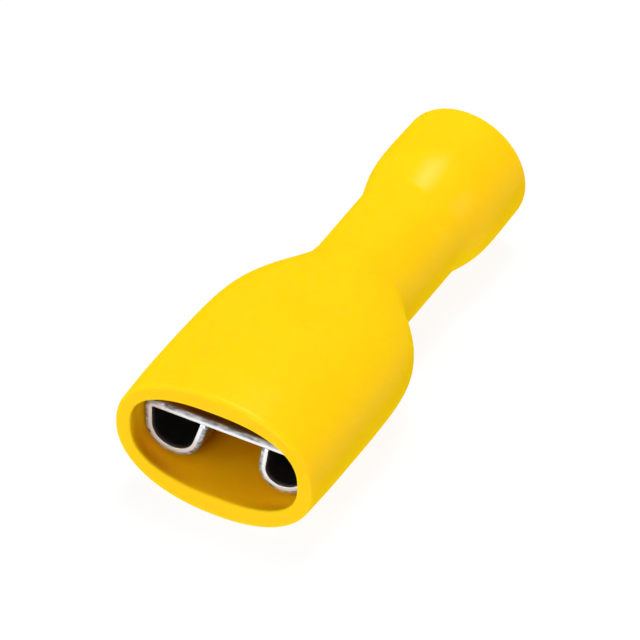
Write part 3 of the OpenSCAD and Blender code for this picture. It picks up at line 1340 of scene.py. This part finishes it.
    def build(self, place: Matrix, plate: TinPlate, edge: ShearedEdge) -> bpy.types.Object:
        """Build the terminal and dress it.

        Args:
            place: Turns millimetres about the mouth into metres in the frame.
            plate: Finish of the sheet's faces.
            edge: Finish of its cut edges.

        Returns:
            The finished object.
        """
        self.piece = Piece("terminal_sheet", Node.TERMINAL, Slot.METAL)
        back = self.fold_receptacle()
        joint = self.roll_trough(back)
        self.roll_barrel(self.close_barrel(joint))
        self.press_detent()
        self.thicken()
        self.cut_grooves()
        self.open_rear()
        self.round_edges()
        self.cut_notch()
        return self.piece.finish(place, [plate.material(), edge.material()])


# ---- Studio ----


@dataclass(frozen=True)
class Panel:
    """A square soft light that faces the part, in metres and watts."""

    name: str
    at: Triple
    size: float
    watts: float

    def hang(self) -> None:
        """Hang the light."""
        data = bpy.data.lights.new(self.name, "AREA")
        data.shape = "SQUARE"
        data.size = self.size
        data.energy = self.watts
        place = Vector(self.at)
        facing = place.to_track_quat("Z", "Y").to_matrix().to_4x4()
        put(self.name, data).matrix_world = Matrix.Translation(place) @ facing
        LOG.info("light %s", self.name)


@dataclass(frozen=True)
class FloorPaper:
    """Plain pale paper, lit so that it stays even."""

    size: float = 3.0
    low: Triple = (0.09, 0.09, 0.09)
    high: Triple = (0.11, 0.11, 0.11)
    grain_scale: Triple = (0.05, 0.05, 0.05)
    roughness: float = 0.9
    gloss: float = 0.1
    glow: float = 0.9

    def material(self) -> bpy.types.Material:
        """Make the material.

        Returns:
            The material.
        """
        made = MaterialNodes("floor_paper")
        made.drive("Base Color", made.ramp(made.grain(self.grain_scale), self.low, self.high))
        made.constant(
            Roughness=self.roughness, Specular_IOR_Level=self.gloss,
            Emission_Color=(*WHITE, 1.0), Emission_Strength=self.glow,
        )
        return made.material

    def lay(self) -> None:
        """Lay the floor at the height that the part rests on."""
        bm = bmesh.new()
        bmesh.ops.create_grid(bm, x_segments=1, y_segments=1, size=self.size / 2)
        mesh = bpy.data.meshes.new("floor")
        bm.to_mesh(mesh)
        bm.free()
        mesh.materials.append(self.material())
        put("floor", mesh)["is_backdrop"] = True
        LOG.info("floor laid")


@dataclass
class Studio:
    """Camera, soft lights and a plain pale floor."""

    azimuth: float = 28.162
    elevation: float = 39.828
    roll: float = 0.887
    distance: float = 0.243111
    aim: Triple = (-0.000917, -0.001132, 0.003643)
    lens: float = 240.494
    sensor: float = 36.0
    clip: tuple[float, float] = (0.01, 20.0)
    sky: float = 0.07
    panels: tuple[Panel, ...] = (
        Panel("overhead", (-0.08, 0.216, 0.768), 0.4, 4.75),
        Panel("overhead_core", (-0.075, 0.21, 0.75), 0.12, 0.7),
        Panel("front", (0.1, -0.70, 0.42), 0.4, 3.25),
        Panel("front_left", (-0.5, -0.55, 0.35), 0.4, 1.9),
        Panel("right", (0.75, 0.1, 0.3), 0.4, 1.85),
    )
    floor: FloorPaper = FloorPaper()

    def set_camera(self) -> None:
        """Place the camera, which looks at the aim from its azimuth and elevation."""
        data = bpy.data.cameras.new("camera")
        data.lens = self.lens
        data.sensor_width = self.sensor
        data.clip_start, data.clip_end = self.clip
        camera = put("camera", data)
        turn = (
            Matrix.Rotation(math.radians(self.azimuth), 4, "Z")
            @ Matrix.Rotation(math.radians(90 - self.elevation), 4, "X")
            @ Matrix.Rotation(math.radians(self.roll), 4, "Z")
        )
        back = turn.to_3x3() @ Vector((0, 0, 1))
        camera.matrix_world = Matrix.Translation(Vector(self.aim) + back * self.distance) @ turn
        bpy.context.scene.camera = camera

    def light(self) -> None:
        """Set a faint even sky and hang the panels."""
        world = bpy.data.worlds.new("sky")
        world.use_nodes = True
        backdrop = world.node_tree.nodes["Background"]
        backdrop.inputs["Color"].default_value = (*WHITE, 1.0)
        backdrop.inputs["Strength"].default_value = self.sky
        bpy.context.scene.world = world
        for panel in self.panels:
            panel.hang()

    def build(self) -> None:
        """Set up the studio."""
        self.set_camera()
        self.light()
        self.floor.lay()
        bpy.context.scene.view_settings.view_transform = "Standard"


def main() -> None:
    """Build the studio and the two pieces, and work out both boxes."""
    logging.basicConfig(level=logging.INFO, format="%(name)s: %(message)s")
    low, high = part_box(Node.SLEEVE.value)
    mounts = {mount["name"]: mount for mount in frame["record"]["mounts"]}
    sleeve = InsulatingSleeve(length=(high.y - low.y) / MM)
    mouth_mid = mounts["wire_entry"]["pos_m"][2] + sleeve.neck_drop * MM
    place = Matrix.Translation(Vector((0, low.y, mouth_mid))) @ Matrix.Scale(MM, 4)
    Studio().build()
    sleeve.build(place, Vinyl())
    Terminal().build(place, TinPlate(), ShearedEdge())
    low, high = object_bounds()


if __name__ == "__main__":
    main()
